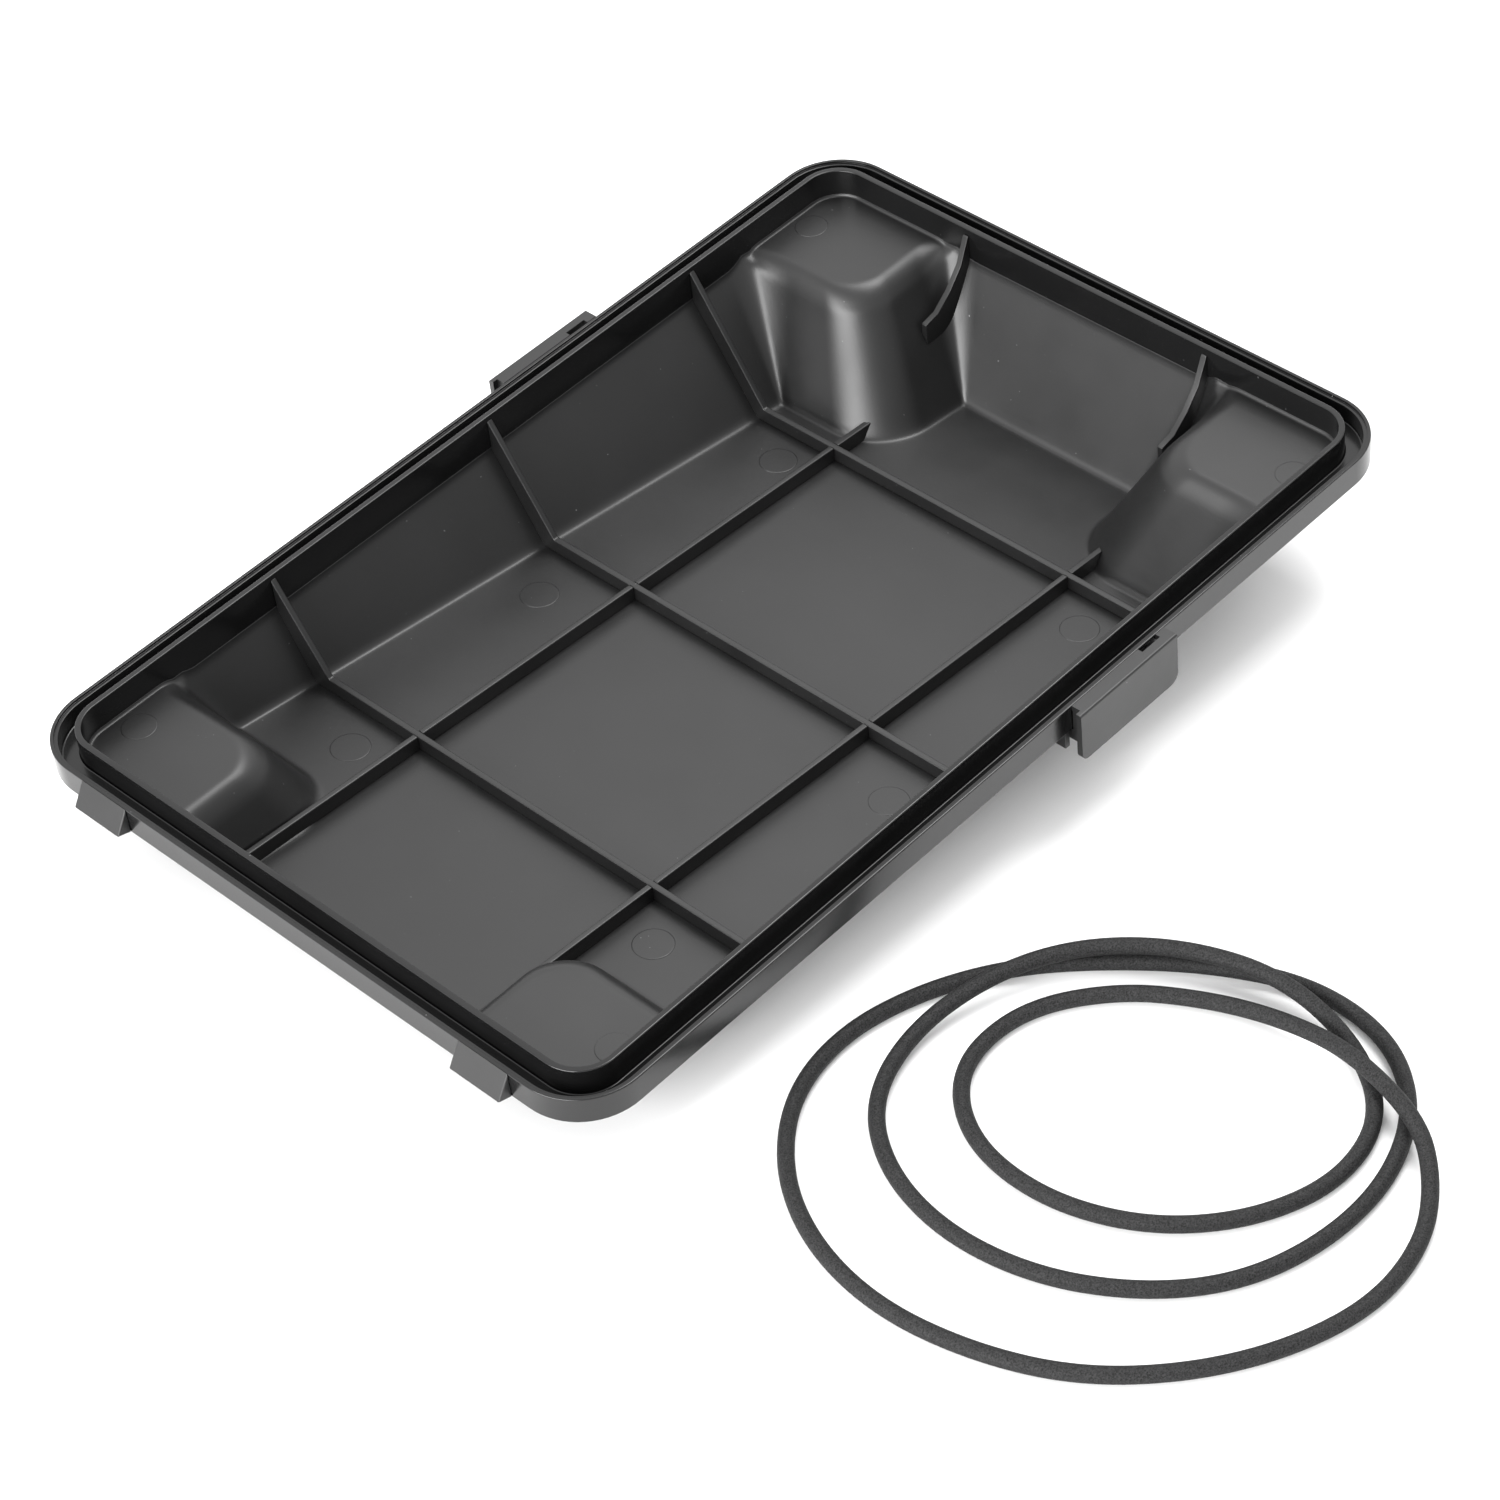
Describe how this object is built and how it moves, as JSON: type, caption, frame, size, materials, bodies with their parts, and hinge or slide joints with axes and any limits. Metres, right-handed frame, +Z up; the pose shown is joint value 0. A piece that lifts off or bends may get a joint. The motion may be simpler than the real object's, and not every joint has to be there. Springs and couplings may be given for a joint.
{
  "type": "gasketed ribbed tray",
  "caption": "Rectangular moulded tray with drafted walls, floor ribs, inset corners and a seal groove round its leaning mouth, with side snap clips, end catches and a loose endless seal cord.",
  "frame": {"origin": "on the underside of the level floor, below the centre of the mouth", "axes": "+X along the tray's length towards its deep end, +Y towards the left long side, +Z up; the mouth leans 4.2 degrees, higher at +X"},
  "size_m": [0.3639, 0.4282, 0.0589],
  "materials": {
    "moulding": "fine satin spark texture",
    "seal_rubber": "matte foam-rubber skin"
  },
  "bodies": {
    "tray": {"catch_left": "moulding", "catch_right": "moulding", "clip_stop_left": "moulding", "clip_stop_right": "moulding", "cross_rib_1": "moulding", "cross_rib_2": "moulding", "cross_rib_3": "moulding", "far_web_left": "moulding", "far_web_right": "moulding", "floor_panel": "moulding", "groove_channel": "moulding", "inner_lip": "moulding", "long_rib_left_1": "moulding", "long_rib_left_2": "moulding", "long_rib_left_3": "moulding", "long_rib_left_4": "moulding", "long_rib_right_1": "moulding", "long_rib_right_2": "moulding", "long_rib_right_3": "moulding", "long_rib_right_4": "moulding", "outer_lip": "moulding", "pocket_far_left": "moulding", "pocket_far_right": "moulding", "pocket_near_left": "moulding", "pocket_near_right": "moulding", "seal_cord": "seal_rubber", "wall_far": "moulding", "wall_left": "moulding", "wall_near": "moulding", "wall_right": "moulding"},
    "clip_left_body": {"clip_left": "moulding"},
    "clip_right_body": {"clip_right": "moulding"}
  },
  "joints": [
    {"name": "clip_left_flex", "type": "hinge", "parent": "tray", "child": "clip_left_body", "pos_m": [0.04377, 0.119, 0.04694], "axis": [0.9973, 0, 0.0732], "range_deg": [0, 8], "stiffness_Nm_per_rad": 1.2},
    {"name": "clip_right_flex", "type": "hinge", "parent": "tray", "child": "clip_right_body", "pos_m": [0.04377, -0.119, 0.04694], "axis": [-0.9973, 0, -0.0732], "range_deg": [0, 8], "stiffness_Nm_per_rad": 1.2}
  ]
}
